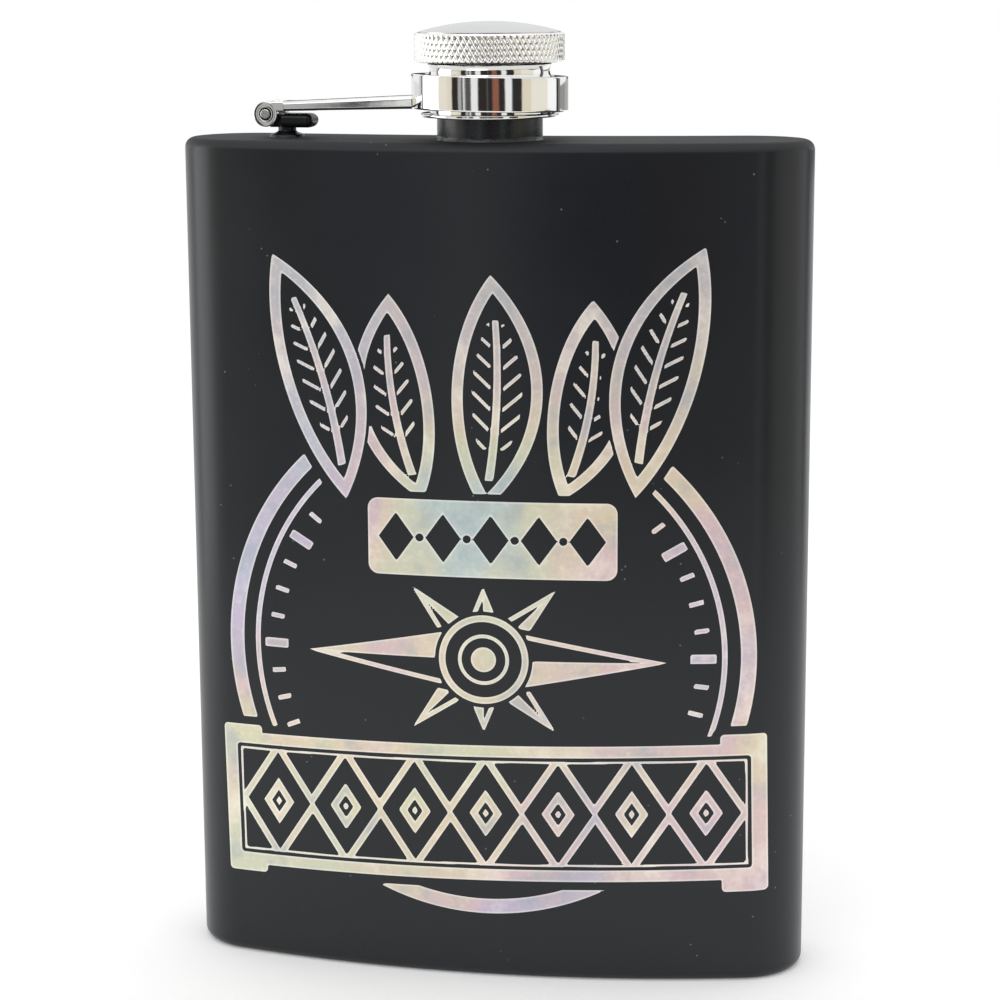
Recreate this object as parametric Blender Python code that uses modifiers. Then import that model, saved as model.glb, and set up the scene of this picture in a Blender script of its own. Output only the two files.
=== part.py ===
"""Hip flask with a captive screw cap, as separate solids. Metres, +Z up, front towards -Y.

The origin is on the underside of the base, on the axis of the neck and cap. The flask is a flat, curved
(kidney-shaped) bottle: its front swells outwards and its back is hollow, to sit against a hip.
"""

import math

import bmesh
import bpy
from mathutils import Matrix

# Body
BODY_WIDTH = 0.0950
BODY_HEIGHT = 0.1264
BODY_THICKNESS = 0.0210
FRONT_RADIUS = 0.1703  # radius of the swelling front, seen from above
END_RADIUS = 0.0100  # radius of the two rounded ends, seen from above
EDGE_FILLET = 0.0015  # rounding between the plates and the wall
SHEET = 0.0006  # wall
PLATE_SHEET = 0.0008  # base and top plates
RIM_HEIGHT = 0.0022  # height of a plate's rim, up to the seam with the wall
LIP_HEIGHT = 0.0014  # how far a plate's lip reaches inside the wall

# Neck; everything on top of the flask is measured from the top plate
NECK_RADIUS = 0.0078
NECK_WALL = 0.00085  # below the thread
NECK_SHOULDER = 0.0046
THREAD_STEP = 0.00055  # from the neck's plain part in to the thread's root
THREAD_DEPTH = 0.00035
THREAD_PITCH = 0.0015
THREAD_TURNS = 2.5

# Cap
HEAD_OVERHANG = 0.00155  # how far the head reaches over the collar
HEAD_HEIGHT = 0.0043
DOME_HEIGHT = 0.0016
KNURL_TEETH = 60
KNURL_DEPTH = 0.0003
SLEEVE_WALL = 0.0005
SLEEVE_ROOF = 0.0008
FLANGE_OVERHANG = 0.00065  # how far the flange reaches under the collar
FLANGE_BOTTOM = 0.0033
FLANGE_THICKNESS = 0.0006
SEAL_THICKNESS = 0.0014

# Arm: a strap with a collar at one end and two hinge ears at the other
COLLAR_WALL = 0.00205
COLLAR_HEIGHT = 0.0051
ARM_WIDTH = 0.0050
ARM_THICKNESS = 0.0015  # at the hinge
ARM_RISE = 0.0005  # how much higher the strap's underside is at the collar than at the hinge
ARM_GROWTH = 0.0006  # how much thicker the strap is at the collar
EAR_RADIUS = 0.0019
EAR_THICKNESS = 0.0011

# Hinge
PIN_DISTANCE = 0.03425  # from the axis of the cap to the pin, along X
PIN_HEIGHT = 0.00345
PIN_RADIUS = 0.00075
STEM_OFFSET = 0.00255  # from the pin to the post's stem, towards the cap
STEM_RADIUS = 0.00135
FOOT_RADIUS = 0.0027
HEAD_LENGTH = 0.0071  # from the pin to the far end of the post's head
POST_HEAD_WIDTH = 0.0042
POST_HEAD_BOTTOM = 0.0014
KNUCKLE_RADIUS = 0.0016

# Clearances
GAP = 0.0003  # between pieces that are fixed to each other or rest on each other
PIN_GAP = 0.00008
SIDE_GAP = 0.0002  # between an ear and the knuckle
SLEEVE_GAP = 0.00055  # round the neck, so that the cap lifts off along the arm's arc
COLLAR_GAP = 0.00065  # round the sleeve
COLLAR_REST = 0.0004  # between the flange and the collar
GROOVE_PLAY = 0.0019  # between the collar and the head

AROUND = 72

MID_RADIUS = FRONT_RADIUS - BODY_THICKNESS / 2
PIN_X = -PIN_DISTANCE
PIN_Y = MID_RADIUS - math.sqrt(MID_RADIUS**2 - PIN_DISTANCE**2)
PIN_Z = BODY_HEIGHT + PIN_HEIGHT
ARM_LENGTH = math.hypot(PIN_X, PIN_Y)  # from the pin to the axis of the cap
ARM_ANGLE = math.atan2(-PIN_Y, -PIN_X)
STRAP_UNDER = EAR_RADIUS - ARM_THICKNESS  # underside of the strap above the pin

THREAD_ROOT = NECK_RADIUS - THREAD_STEP
THREAD_CREST = THREAD_ROOT + THREAD_DEPTH
NECK_BORE = THREAD_ROOT - NECK_WALL
SLEEVE_RADIUS = NECK_RADIUS + SLEEVE_GAP + SLEEVE_WALL
COLLAR_BORE = SLEEVE_RADIUS + COLLAR_GAP
COLLAR_RADIUS = COLLAR_BORE + COLLAR_WALL
FLANGE_RADIUS = COLLAR_BORE + FLANGE_OVERHANG
HEAD_RADIUS = COLLAR_BORE + HEAD_OVERHANG
COLLAR_BOTTOM = FLANGE_BOTTOM + FLANGE_THICKNESS + COLLAR_REST
HEAD_BOTTOM = COLLAR_BOTTOM + COLLAR_HEIGHT + GROOVE_PLAY
HEAD_RIM_TOP = HEAD_BOTTOM + HEAD_HEIGHT
NECK_TOP = HEAD_BOTTOM - GAP  # the neck ends under the seal


def clear_scene():
    for obj in list(bpy.data.objects):
        bpy.data.objects.remove(obj, do_unlink=True)


def new_collection(name):
    made = bpy.data.collections.new(name)
    bpy.context.scene.collection.children.link(made)
    return made


def new_material(name, colour, roughness, metallic):
    made = bpy.data.materials.new(name)
    made.use_nodes = True
    shader = made.node_tree.nodes["Principled BSDF"]
    shader.inputs["Base Color"].default_value = (*colour, 1)
    shader.inputs["Roughness"].default_value = roughness
    shader.inputs["Metallic"].default_value = metallic
    return made


def add_object(name, shape, collection, material=None):
    """Puts a mesh, a curve or a ready object in a collection under its own name."""
    obj = shape if isinstance(shape, bpy.types.Object) else bpy.data.objects.new(name, shape)
    collection.objects.link(obj)
    if material:
        obj.data.materials.append(material)
    return obj


def add_cutter(name, shape):
    obj = add_object(name, shape, cutters)
    obj.hide_render = True
    obj.display_type = "WIRE"
    return obj


def smooth(obj, degrees=35):
    obj.data.shade_smooth()
    obj.data.set_sharp_from_angle(angle=math.radians(degrees))


def mesh_of(name, points, faces):
    mesh = bpy.data.meshes.new(name)
    mesh.from_pydata(points, [], faces)
    build = bmesh.new()
    build.from_mesh(mesh)
    bmesh.ops.recalc_face_normals(build, faces=build.faces)
    build.to_mesh(mesh)
    build.free()
    return mesh


def mesh_of_rings(name, rings, closed):
    """Joins rings of points, one above another. A closed set joins the last ring to the first; an open one
    is filled at both ends."""
    count = len(rings[0])
    points = [point for ring in rings for point in ring]
    faces = []
    for row in range(len(rings) if closed else len(rings) - 1):
        here, above = row * count, (row + 1) % len(rings) * count
        for i in range(count):
            j = (i + 1) % count
            faces.append((here + i, here + j, above + j, above + i))
    if not closed:
        faces.append(tuple(range(count))[::-1])
        faces.append(tuple(range(len(points) - count, len(points))))
    return mesh_of(name, points, faces)


def turned_mesh(name, profile, closed=False):
    """The profile of a turned piece: (radius, height) pairs down its outer side. A tube's profile is closed."""
    mesh = bpy.data.meshes.new(name)
    edges = [(i, i + 1) for i in range(len(profile) - 1)]
    if closed:
        edges.append((len(profile) - 1, 0))
    mesh.from_pydata([(radius, 0, height) for radius, height in profile], edges, [])
    return mesh


def add_screw(obj, steps=AROUND):
    screw = obj.modifiers.new("turn", "SCREW")
    screw.steps = steps
    screw.render_steps = steps
    screw.use_merge_vertices = True
    screw.merge_threshold = 0.00001
    screw.use_smooth_shade = True


def add_boolean(obj, other, operation):
    boolean = obj.modifiers.new(operation.lower(), "BOOLEAN")
    boolean.operation = operation
    boolean.solver = "EXACT"
    boolean.object = other


def arc(centre_x, centre_y, radius, start, end, steps):
    """Points along an arc between two angles in radians, leaving out the last one."""
    angles = [start + (end - start) * i / steps for i in range(steps)]
    return [(centre_x + radius * math.cos(a), centre_y + radius * math.sin(a)) for a in angles]


def kidney(inset):
    """The flask's outline from above, counter-clockwise, moved inwards by the inset."""
    end_x = BODY_WIDTH / 2 - END_RADIUS
    end_y = MID_RADIUS - math.sqrt((FRONT_RADIUS - END_RADIUS) ** 2 - end_x**2)
    drop = BODY_THICKNESS / 2 - end_y
    back_radius = (end_x**2 + drop**2 - END_RADIUS**2) / (2 * (END_RADIUS - drop))
    back_y = BODY_THICKNESS / 2 + back_radius
    front = math.asin(end_x / (FRONT_RADIUS - END_RADIUS))
    back = math.atan2(end_x, back_y - end_y)
    down, up = -math.pi / 2, math.pi / 2
    end = END_RADIUS - inset
    points = arc(0, MID_RADIUS, FRONT_RADIUS - inset, down - front, down + front, 24)
    points += arc(end_x, end_y, end, down + front, up + back, 16)
    points += arc(0, back_y, back_radius + inset, down + back, down - back, 24)
    points += arc(-end_x, end_y, end, up - back, math.pi * 1.5 - front, 16)
    return points


def kidney_rings(rows):
    return [[(x, y, height) for x, y in kidney(inset)] for inset, height in rows]


def make_body_band():
    """The sheet wrapped round the flask: front, back and both ends."""
    low = RIM_HEIGHT + GAP
    high = BODY_HEIGHT - low
    rows = [(0, low), (0, high), (SHEET, high), (SHEET, low)]
    mesh = mesh_of_rings("body_band", kidney_rings(rows), closed=True)
    smooth(add_object("body_band", mesh, flask, coat))


def plate_rows():
    """(inset, height) down a plate, from the middle of its outer face round the rim to its inner face."""
    rows = []
    for i in range(6):
        angle = math.pi / 2 * i / 5
        rows.append((EDGE_FILLET * (1 - math.sin(angle)), EDGE_FILLET * (1 - math.cos(angle))))
    lip = SHEET + GAP
    top = RIM_HEIGHT + LIP_HEIGHT
    inner = lip + PLATE_SHEET
    return rows + [(0, RIM_HEIGHT), (lip, RIM_HEIGHT), (lip, top), (inner, top), (inner, PLATE_SHEET)]


def make_base_plate():
    """The base: a shallow pan whose lip reaches inside the wall."""
    mesh = mesh_of_rings("base_plate", kidney_rings(plate_rows()), closed=False)
    smooth(add_object("base_plate", mesh, flask, coat))


def make_top_plate():
    """The shoulder of the flask: the same pan upside down, with holes for the neck and the hinge post."""
    rows = [(inset, BODY_HEIGHT - height) for inset, height in plate_rows()]
    mesh = mesh_of_rings("top_plate", kidney_rings(rows), closed=False)
    plate = add_object("top_plate", mesh, flask, coat)
    smooth(plate)
    holes = (("neck", 0, 0, THREAD_ROOT + GAP), ("post", *post_place(), STEM_RADIUS + GAP))
    for name, x, y, radius in holes:
        cutter = add_cutter("hole_" + name, cylinder_mesh("hole_" + name, radius, 0.006))
        cutter.location = (x, y, BODY_HEIGHT)
        add_boolean(plate, cutter, "DIFFERENCE")


def cylinder_mesh(name, radius, length, steps=AROUND):
    mesh = bpy.data.meshes.new(name)
    build = bmesh.new()
    bmesh.ops.create_cone(
        build, cap_ends=True, segments=steps, radius1=radius, radius2=radius, depth=length
    )
    build.to_mesh(mesh)
    build.free()
    return mesh


def box_mesh(name, low, high):
    mesh = bpy.data.meshes.new(name)
    build = bmesh.new()
    bmesh.ops.create_cube(build, size=1)
    for vertex in build.verts:
        for axis in range(3):
            vertex.co[axis] = low[axis] if vertex.co[axis] < 0 else high[axis]
    build.to_mesh(mesh)
    build.free()
    return mesh


def thread_height(angle, height):
    """How much of the thread's full height stands at this point of the neck, from 0 to 1."""
    low = NECK_SHOULDER + 0.0009
    turn = (height - low) / THREAD_PITCH - angle / (2 * math.pi)
    nearest = min(max(round(turn), 0), THREAD_TURNS)
    if not 0 <= nearest + angle / (2 * math.pi) <= THREAD_TURNS:
        return 0
    ends = min(nearest + angle / (2 * math.pi), THREAD_TURNS - nearest - angle / (2 * math.pi))
    return max(0, min(1, 1.7 - 5 * abs(turn - nearest))) * min(1, 8 * ends)


def make_neck():
    """The spout: a plain lower part, a shoulder and a threaded upper part, with a spigot through the plate."""
    outer = [
        (THREAD_ROOT, -0.0020),
        (THREAD_ROOT, GAP),
        (NECK_RADIUS + 0.0004, GAP),
        (NECK_RADIUS + 0.0003, 0.0006),
        (NECK_RADIUS, 0.0008),
        (NECK_RADIUS, NECK_SHOULDER - 0.0003),
        (THREAD_ROOT, NECK_SHOULDER),
    ]
    start, stop = NECK_SHOULDER + 0.0002, NECK_TOP - 0.0012
    count = 21
    threaded = [start + (stop - start) * i / (count - 1) for i in range(count)]
    lip = [(THREAD_ROOT, NECK_TOP - 0.0003), (THREAD_ROOT - 0.0002, NECK_TOP)]
    bore = [(NECK_BORE + 0.0002, NECK_TOP), (NECK_BORE, NECK_TOP - 0.0003), (NECK_BORE, -0.0020)]
    angles = [2 * math.pi * i / AROUND for i in range(AROUND)]
    rings = [[(r, h, a) for a in angles] for r, h in outer]
    for height in threaded:
        deep = THREAD_CREST - THREAD_ROOT
        rings.append([(THREAD_ROOT + deep * thread_height(a, height), height, a) for a in angles])
    rings += [[(r, h, a) for a in angles] for r, h in lip + bore]
    points = [[(r * math.cos(a), r * math.sin(a), h) for r, h, a in ring] for ring in rings]
    neck = add_object("neck", mesh_of_rings("neck", points, closed=True), flask, neck_coat)
    neck.location = (0, 0, BODY_HEIGHT)
    smooth(neck)


def make_cap_sleeve():
    """The turned insert of the cap: the groove that carries the collar, with the retaining flange below it."""
    bore = SLEEVE_RADIUS - SLEEVE_WALL
    top = HEAD_BOTTOM + SEAL_THICKNESS + GAP + SLEEVE_ROOF
    flange = FLANGE_BOTTOM + FLANGE_THICKNESS
    profile = [
        (0, top),
        (SLEEVE_RADIUS - 0.0003, top),
        (SLEEVE_RADIUS, top - 0.0003),
        (SLEEVE_RADIUS, flange),
        (FLANGE_RADIUS - 0.00020, flange),
        (FLANGE_RADIUS - 0.00005, flange - 0.00010),
        (FLANGE_RADIUS, flange - 0.00025),
        (FLANGE_RADIUS - 0.00020, flange - 0.00042),
        (FLANGE_RADIUS - 0.00060, flange - 0.00053),
        (bore + 0.0004, FLANGE_BOTTOM),
        (bore + 0.0001, FLANGE_BOTTOM),
        (bore, FLANGE_BOTTOM + 0.0001),
        (bore, top - SLEEVE_ROOF),
        (0, top - SLEEVE_ROOF),
    ]
    sleeve = add_object("cap_sleeve", turned_mesh("cap_sleeve", profile), flask, chrome)
    sleeve.location = (0, 0, BODY_HEIGHT)
    add_screw(sleeve)
    smooth(sleeve)


def make_seal_disc():
    """The soft washer under the roof of the cap, that closes the spout."""
    radius = SLEEVE_RADIUS - SLEEVE_WALL - GAP
    low, high = HEAD_BOTTOM, HEAD_BOTTOM + SEAL_THICKNESS
    profile = [
        (0, high),
        (radius - 0.0002, high),
        (radius, high - 0.0002),
        (radius, low + 0.0002),
        (radius - 0.0002, low),
        (0, low),
    ]
    seal = add_object("seal_disc", turned_mesh("seal_disc", profile), flask, rubber)
    seal.location = (0, 0, BODY_HEIGHT)
    add_screw(seal)
    smooth(seal)


def make_cap_head():
    """The grip of the cap: a domed cup with a knurled rim. The teeth change its radius round the axis."""
    recess = SLEEVE_RADIUS + GAP
    ceiling = HEAD_BOTTOM + SEAL_THICKNESS + GAP + SLEEVE_ROOF + GAP
    dome_edge = HEAD_RADIUS - 0.00085
    rows = []
    for i in range(1, 9):
        share = i / 8
        rows.append((dome_edge * share, HEAD_RIM_TOP + DOME_HEIGHT - (DOME_HEIGHT - 0.00015) * share**2, 0))
    rows += [
        (dome_edge, HEAD_RIM_TOP - 0.00015, 0),
        (dome_edge + 0.00025, HEAD_RIM_TOP - 0.00015, 0),
        (dome_edge + 0.00035, HEAD_RIM_TOP, 0),
        (HEAD_RADIUS - 0.00025, HEAD_RIM_TOP - 0.00005, 0),
        (HEAD_RADIUS, HEAD_RIM_TOP - 0.00035, 1),
        (HEAD_RADIUS, HEAD_BOTTOM + 0.00035, 1),
        (HEAD_RADIUS - 0.00035, HEAD_BOTTOM, 0),
        (recess, HEAD_BOTTOM, 0),
        (recess, ceiling, 0),
    ]
    steps = 2 * KNURL_TEETH
    rings = []
    for radius, height, toothed in rows:
        ring = []
        for i in range(steps):
            r = radius - KNURL_DEPTH * toothed * (i % 2)
            a = 2 * math.pi * i / steps
            ring.append((r * math.cos(a), r * math.sin(a), height))
        rings.append(ring)
    head = add_object("cap_head", mesh_of_rings("cap_head", rings, closed=False), flask, steel)
    head.location = (0, 0, BODY_HEIGHT)
    smooth(head, 30)


def side_slab(name, outline, width):
    """A flat shape drawn in X and Z from a 2D curve, as thick in Y as the width and centred on Y = 0."""
    curve = bpy.data.curves.new(name + "_outline", "CURVE")
    curve.dimensions = "2D"
    curve.fill_mode = "BOTH"
    curve.extrude = width / 2
    line = curve.splines.new("POLY")
    line.points.add(len(outline) - 1)
    for point, (x, z) in zip(line.points, outline):
        point.co = (x, z, 0, 1)
    line.use_cyclic_u = True
    drawn = add_cutter(name + "_outline", curve)
    drawn.rotation_euler.x = math.pi / 2
    bpy.context.view_layer.update()
    mesh = bpy.data.meshes.new_from_object(drawn.evaluated_get(bpy.context.evaluated_depsgraph_get()))
    bm = bmesh.new()
    bm.from_mesh(mesh)
    bmesh.ops.remove_doubles(bm, verts=bm.verts, dist=1e-6)
    bm.to_mesh(mesh)
    bm.free()
    slab = bpy.data.objects.new(name, mesh)
    slab.matrix_world = drawn.matrix_world
    bpy.data.objects.remove(drawn, do_unlink=True)
    return slab


def cross_cylinder(name, radius, length, steps=36):
    mesh = cylinder_mesh(name, radius, length, steps)
    mesh.transform(turn_to_y)
    return mesh


def make_cap_arm():
    """The captive arm, with its origin on the pin: collar, strap and a fork of two ears."""
    foot = COLLAR_BOTTOM - PIN_HEIGHT
    inner, outer, round_off = COLLAR_BORE, COLLAR_RADIUS, 0.00035
    profile = [
        (inner + 0.0002, foot + COLLAR_HEIGHT),
        (outer - round_off, foot + COLLAR_HEIGHT),
        (outer - round_off * 0.3, foot + COLLAR_HEIGHT - round_off * 0.3),
        (outer, foot + COLLAR_HEIGHT - round_off),
        (outer, foot + 0.0002),
        (outer - 0.0002, foot),
        (inner + 0.0002, foot),
        (inner, foot + 0.0002),
        (inner, foot + COLLAR_HEIGHT - 0.0002),
    ]
    collar = add_cutter("collar_ring", turned_mesh("collar_ring", profile, closed=True))
    add_screw(collar, 96)
    near = ARM_LENGTH - COLLAR_RADIUS + COLLAR_WALL / 2
    low, high = STRAP_UNDER, EAR_RADIUS
    rise = high + ARM_RISE + ARM_GROWTH
    outline = [(0, low), (0.003, low), (near, low + ARM_RISE), (near, rise), (0.003, high), (0, high)]
    arm = add_object("cap_arm", side_slab("cap_arm", outline, ARM_WIDTH), flask, chrome)
    ears = add_cutter("ear_rounds", cross_cylinder("ear_rounds", EAR_RADIUS, ARM_WIDTH))
    slot_end = KNUCKLE_RADIUS + GAP + 0.0002
    half = ARM_WIDTH / 2 - EAR_THICKNESS
    slot = add_cutter("ear_slot", box_mesh("ear_slot", (-0.004, -half, -0.004), (slot_end, half, 0.004)))
    bore = add_cutter("ear_bore", cross_cylinder("ear_bore", PIN_RADIUS + PIN_GAP, 0.012))
    for helper in (ears, slot, bore, arm):
        place_on_pin(helper)
    collar.location = (0, 0, PIN_Z)
    for other, operation in ((ears, "UNION"), (collar, "UNION"), (slot, "DIFFERENCE"), (bore, "DIFFERENCE")):
        add_boolean(arm, other, operation)
    smooth(arm)


def place_on_pin(obj):
    obj.location = (PIN_X, PIN_Y, PIN_Z)
    obj.rotation_euler.z = ARM_ANGLE


def post_place():
    """Where the post's stem stands, seen from above."""
    return (
        PIN_X + STEM_OFFSET * math.cos(ARM_ANGLE),
        PIN_Y + STEM_OFFSET * math.sin(ARM_ANGLE),
    )


def make_hinge_post():
    """The post on the shoulder: spigot, foot, stem and a long head that ends in the hinge knuckle."""
    base = -PIN_HEIGHT
    profile = [
        (0, base + POST_HEAD_BOTTOM + 0.0005),
        (STEM_RADIUS, base + POST_HEAD_BOTTOM + 0.0005),
        (STEM_RADIUS, base + 0.0009),
        (STEM_RADIUS + 0.0003, base + 0.00070),
        (FOOT_RADIUS - 0.0003, base + 0.00055),
        (FOOT_RADIUS, base + GAP),
        (STEM_RADIUS, base + GAP),
        (STEM_RADIUS, base - 0.0020),
        (0, base - 0.0020),
    ]
    post = add_object("hinge_post", turned_mesh("hinge_post", profile), flask, neck_coat)
    add_screw(post, 40)
    low, high = base + POST_HEAD_BOTTOM, STRAP_UNDER - GAP
    half = (high - low) / 2
    middle = (high + low) / 2
    nose = arc(HEAD_LENGTH - half, middle, half, -math.pi / 2, math.pi / 2, 12)
    head_from = EAR_RADIUS + GAP + 0.0002
    outline = [(head_from, low), *nose, (HEAD_LENGTH - half, high), (head_from, high)]
    head = add_cutter("post_head", side_slab("post_head", outline, POST_HEAD_WIDTH))
    narrow = ARM_WIDTH - 2 * EAR_THICKNESS - 2 * SIDE_GAP
    half_narrow = narrow / 2
    low_corner, high_corner = (0, -half_narrow, low), (head_from + 0.0010, half_narrow, high)
    web = add_cutter("post_web", box_mesh("post_web", low_corner, high_corner))
    knuckle = add_cutter("post_knuckle", cross_cylinder("post_knuckle", KNUCKLE_RADIUS, narrow))
    bore = add_cutter("post_bore", cross_cylinder("post_bore", PIN_RADIUS + PIN_GAP, 0.006))
    for helper in (head, web, knuckle, bore):
        place_on_pin(helper)
    post.location = (*post_place(), PIN_Z)
    for other, operation in ((head, "UNION"), (web, "UNION"), (knuckle, "UNION"), (bore, "DIFFERENCE")):
        add_boolean(post, other, operation)
    smooth(post)


def make_hinge_pin():
    """The pin through the ears and the knuckle, with its ends just proud of the ears."""
    length = ARM_WIDTH + 0.0003
    pin = add_object("hinge_pin", cross_cylinder("hinge_pin", PIN_RADIUS, length, 40), flask, steel)
    place_on_pin(pin)
    bevel = pin.modifiers.new("bevel", "BEVEL")
    bevel.width = 0.00012
    bevel.segments = 2
    smooth(pin)


clear_scene()
flask = new_collection("hip_flask")
cutters = new_collection("cutters")
turn_to_y = Matrix.Rotation(math.pi / 2, 4, "X")

coat = new_material("black_coat", (0.018, 0.020, 0.022), 0.42, 0.0)
neck_coat = new_material("black_coat_fittings", (0.014, 0.015, 0.016), 0.35, 0.0)
chrome = new_material("polished_chrome", (0.78, 0.78, 0.77), 0.12, 1.0)
steel = new_material("satin_steel", (0.56, 0.56, 0.55), 0.30, 1.0)
rubber = new_material("seal_silicone", (0.62, 0.60, 0.55), 0.60, 0.0)

make_body_band()
make_base_plate()
make_top_plate()
make_neck()
make_hinge_post()
make_hinge_pin()
make_cap_arm()
make_cap_sleeve()
make_seal_disc()
make_cap_head()
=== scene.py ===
import math
import bmesh
import bpy
import numpy as np
from mathutils import Matrix, Vector


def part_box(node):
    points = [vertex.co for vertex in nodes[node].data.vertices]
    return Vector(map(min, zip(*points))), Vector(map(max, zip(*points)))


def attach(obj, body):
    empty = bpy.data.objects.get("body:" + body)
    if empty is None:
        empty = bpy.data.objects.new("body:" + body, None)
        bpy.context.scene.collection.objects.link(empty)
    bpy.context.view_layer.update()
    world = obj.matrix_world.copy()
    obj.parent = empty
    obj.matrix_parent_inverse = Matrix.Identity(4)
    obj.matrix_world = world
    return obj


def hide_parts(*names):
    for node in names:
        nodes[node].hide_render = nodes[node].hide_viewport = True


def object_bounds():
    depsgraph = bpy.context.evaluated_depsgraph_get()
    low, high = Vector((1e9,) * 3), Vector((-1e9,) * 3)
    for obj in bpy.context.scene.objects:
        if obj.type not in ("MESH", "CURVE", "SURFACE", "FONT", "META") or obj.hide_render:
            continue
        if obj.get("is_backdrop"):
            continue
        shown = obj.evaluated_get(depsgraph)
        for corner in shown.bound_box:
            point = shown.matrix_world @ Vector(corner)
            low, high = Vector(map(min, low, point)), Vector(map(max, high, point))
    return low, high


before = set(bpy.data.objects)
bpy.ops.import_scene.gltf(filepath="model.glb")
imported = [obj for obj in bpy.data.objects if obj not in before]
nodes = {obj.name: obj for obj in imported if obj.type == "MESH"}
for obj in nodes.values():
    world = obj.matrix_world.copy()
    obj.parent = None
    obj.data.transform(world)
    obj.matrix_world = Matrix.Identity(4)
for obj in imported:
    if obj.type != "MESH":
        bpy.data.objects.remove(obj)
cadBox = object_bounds()
mm = 0.001

# where the parts of the flask sit, read from the frame
bandLow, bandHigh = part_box("body_band")
pinLow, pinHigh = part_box("hinge_pin")
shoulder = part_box("top_plate")[1].z         # height of the flat top of the body
pinCentre = (pinLow + pinHigh) / 2
armLength = math.hypot(pinCentre.x, pinCentre.y)
armTurn = math.atan2(-pinCentre.y, -pinCentre.x)
poleRadius = 0.03 * mm                      # of the pinholes that closeUp fills
weldedGap = 0.0001 * mm                     # points nearer than this are one


# Closes a solid: points that coincide become one, the pinholes at the poles get a face, and the
# faces of every closed part are turned outwards.
def closeUp(mesh):
    work = bmesh.new()
    work.from_mesh(mesh)
    bmesh.ops.remove_doubles(work, verts=work.verts, dist=weldedGap)
    bmesh.ops.holes_fill(work, edges=[edge for edge in work.edges if edge.is_boundary], sides=0)
    bmesh.ops.recalc_face_normals(work, faces=work.faces)
    work.to_mesh(mesh)
    work.free()


# A mesh from an array of points and an array of faces, of 3 or 4 corners. Without a body it belongs
# to the studio. Edges are sharp above the angle, in degrees.
def meshFrom(name, points, quads, material, body, replaced=(), slot=None, sharp=40, solid=True):
    points = np.asarray(points, np.float32).reshape(-1, 3)
    mesh = bpy.data.meshes.new(name)
    sides = quads.shape[1]
    mesh.vertices.add(len(points))
    mesh.vertices.foreach_set("co", points.ravel())
    mesh.loops.add(quads.size)
    mesh.loops.foreach_set("vertex_index", quads.astype(np.int32).ravel())
    mesh.polygons.add(len(quads))
    mesh.polygons.foreach_set("loop_start", np.arange(0, quads.size, sides, dtype=np.int32))
    mesh.update(calc_edges=True)
    mesh.validate()
    if body and solid:
        closeUp(mesh)
    obj = bpy.data.objects.new(name, mesh)
    bpy.context.scene.collection.objects.link(obj)
    mesh.materials.append(material)
    mesh.shade_smooth()
    if sharp:
        mesh.set_sharp_from_angle(angle=math.radians(sharp))
    if body:
        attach(obj, body)
    if replaced:
        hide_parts(*replaced)
    return obj


# Faces of a grid of rows x columns points; a wrapped direction joins its last line to its first.
def gridQuads(rows, columns, wrapRows=False, wrapColumns=True):
    r = np.arange(rows if wrapRows else rows - 1)
    c = np.arange(columns if wrapColumns else columns - 1)
    r, c = np.meshgrid(r, c, indexing="ij")
    r2, c2 = (r + 1) % rows, (c + 1) % columns
    corners = [r * columns + c, r * columns + c2, r2 * columns + c2, r2 * columns + c]
    return np.stack(corners, -1).reshape(-1, 4)


# Angles of a full turn.
def turnSteps(steps):
    return np.linspace(0, 2 * math.pi, steps, endpoint=False)


# Rows of (r cos a, r sin a, h), for radii of one value a row or of one value a point.
def ringRows(radius, heights, angle):
    radius = np.broadcast_to(radius, (len(heights), len(angle)))
    z = np.broadcast_to(np.asarray(heights)[:, None], radius.shape)
    return np.stack([radius * np.cos(angle), radius * np.sin(angle), z], -1)


# A profile of (radius, height) turned round Z. Rows run along the profile.
def turned(profile, steps):
    profile = np.asarray(profile, float)
    return ringRows(profile[:, :1], profile[:, 1], turnSteps(steps))


# Rounds each inner corner of a polyline: the corner becomes a quadratic curve between two points
# that lie the radius away from it along both sides.
def rounded(profile, radius, steps=5):
    profile = [np.asarray(p, float) for p in profile]
    made = [profile[0]]
    for before, corner, after in zip(profile, profile[1:], profile[2:]):
        a, b = before - corner, after - corner
        reach = min(radius, np.linalg.norm(a) * 0.45, np.linalg.norm(b) * 0.45)
        start = corner + a / np.linalg.norm(a) * reach
        stop = corner + b / np.linalg.norm(b) * reach
        t = np.linspace(0, 1, steps)[:, None]
        made += list((1 - t) ** 2 * start + 2 * t * (1 - t) * corner + t ** 2 * stop)
    made.append(profile[-1])
    return np.array(made)


# Joins (points, quads) pairs into one pair.
def join(parts):
    points, quads, count = [], [], 0
    for p, q in parts:
        points.append(p.reshape(-1, 3))
        quads.append(q + count)
        count += len(points[-1])
    return np.concatenate(points), np.concatenate(quads)


# A socket that takes part in sums, products and comparisons, adding a Math node for each.
class Value:
    def __init__(self, tree, socket):
        self.tree, self.socket = tree, socket

    def math(self, operation, *values):
        node = self.tree.nodes.new("ShaderNodeMath")
        node.operation = operation
        for index, value in enumerate(values or (self,)):
            if isinstance(value, Value):
                self.tree.links.new(value.socket, node.inputs[index])
            else:
                node.inputs[index].default_value = value
        return Value(self.tree, node.outputs[0])

    def __add__(self, other): return self.math("ADD", self, other)
    def __radd__(self, other): return self.math("ADD", other, self)
    def __sub__(self, other): return self.math("SUBTRACT", self, other)
    def __rsub__(self, other): return self.math("SUBTRACT", other, self)
    def __mul__(self, other): return self.math("MULTIPLY", self, other)
    def __rmul__(self, other): return self.math("MULTIPLY", other, self)
    def __gt__(self, other): return self.math("GREATER_THAN", self, other)
    def __lt__(self, other): return self.math("LESS_THAN", self, other)


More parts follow.
